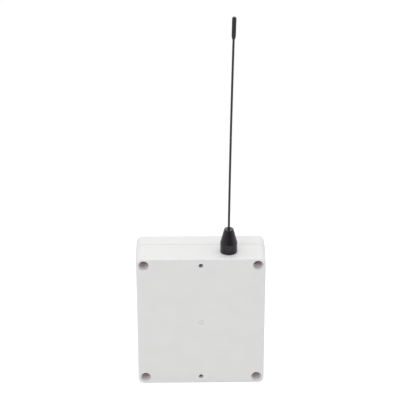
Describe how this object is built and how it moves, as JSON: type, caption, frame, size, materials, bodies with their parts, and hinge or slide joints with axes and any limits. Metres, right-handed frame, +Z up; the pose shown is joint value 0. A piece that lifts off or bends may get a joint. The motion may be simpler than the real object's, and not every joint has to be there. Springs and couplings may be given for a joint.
{
  "type": "radio transmitter module",
  "caption": "Wall-mounted radio transmitter: two-part moulded box with a screw-on whip antenna, circuit board and coin cells inside.",
  "frame": {"origin": "middle of the box's flat bottom", "axes": "+Z up along the antenna, -Y out of the rear face that goes against the wall, +Y out of the cover"},
  "size_m": [0.086, 0.033, 0.26],
  "materials": {
    "case_plastic": "fine moulded grain",
    "seal_rubber": "dull black",
    "zinc_steel": "zinc plated",
    "board_laminate": "green solder mask",
    "radio_laminate": "blue solder mask",
    "holder_plastic": "black moulded plastic",
    "cell_steel": "pressed stainless steel",
    "spring_metal": "nickel plated spring strip",
    "tin": "tin plated",
    "chip_plastic": "moulded epoxy",
    "capacitor_sleeve": "shrunk sleeve",
    "ceramic": "ceramic body",
    "led_lens": "clear epoxy",
    "plunger_plastic": "moulded plastic",
    "gold_plate": "gold plated brass",
    "nickel_plate": "nickel plated brass",
    "white_insulator": "fluoropolymer",
    "lead_jacket": "black jacket",
    "boot_plastic": "black moulded plastic",
    "whip_coating": "thin black coating"
  },
  "bodies": {
    "box": {"rear_housing": "case_plastic", "cover_seal": "seal_rubber", "jack_seal": "seal_rubber", "cover_screws": "zinc_steel", "board_screws": "zinc_steel", "circuit_board": "board_laminate", "radio_board": "radio_laminate", "lower_cell_holder": "holder_plastic", "upper_cell_holder": "holder_plastic", "button_base": "holder_plastic", "program_header": "holder_plastic", "positive_contacts": "spring_metal", "negative_contacts": "spring_metal", "button_dome": "spring_metal", "button_frame": "spring_metal", "radio_pads": "tin", "controller_pins": "tin", "radio_shield": "tin", "timing_crystal": "tin", "controller_chip": "chip_plastic", "buffer_capacitor": "capacitor_sleeve", "small_parts": "ceramic", "status_led": "led_lens", "header_pins": "gold_plate", "antenna_jack": "gold_plate", "jack_contact": "gold_plate", "coax_socket": "gold_plate", "coax_plug": "gold_plate", "jack_lock_washer": "nickel_plate", "jack_nut": "nickel_plate", "jack_insulator": "white_insulator", "coax_lead": "lead_jacket"},
    "cover": {"front_cover": "case_plastic"},
    "antenna_rod": {"antenna_ferrule": "nickel_plate", "antenna_insulator": "lead_jacket", "antenna_pin": "gold_plate", "whip_rod": "whip_coating", "tip_cap": "boot_plastic"},
    "antenna_base": {"antenna_boot": "boot_plastic", "coupling_nut": "nickel_plate"},
    "lower_cell": {"lower_coin_cell": "cell_steel"},
    "upper_cell": {"upper_coin_cell": "cell_steel"},
    "pairing_button": {"button_plunger": "plunger_plastic"}
  },
  "joints": [
    {"name": "cover_off", "type": "slide", "parent": "box", "child": "cover", "axis": [0, 1, 0], "range_m": [0, 0.06]},
    {"name": "antenna_rise", "type": "slide", "parent": "box", "child": "antenna_rod", "axis": [0, 0, 1], "range_m": [0, 0.00423]},
    {"name": "antenna_unscrew", "type": "hinge", "parent": "antenna_rod", "child": "antenna_base", "pos_m": [0.0185, -0.0061, 0.0965], "axis": [0, 0, 1], "range_deg": [0, 2160]},
    {"name": "lower_cell_out", "type": "slide", "parent": "box", "child": "lower_cell", "axis": [0, 1, 0], "range_m": [0, 0.008]},
    {"name": "upper_cell_out", "type": "slide", "parent": "box", "child": "upper_cell", "axis": [0, 1, 0], "range_m": [0, 0.008]},
    {"name": "button_press", "type": "slide", "parent": "box", "child": "pairing_button", "axis": [0, -1, 0], "range_m": [0, 0.00025], "stiffness_N_per_m": 4000}
  ],
  "couplings": [
    {"joint": "antenna_unscrew", "follows": "antenna_rise", "rad_per_m": 8904.7}
  ]
}
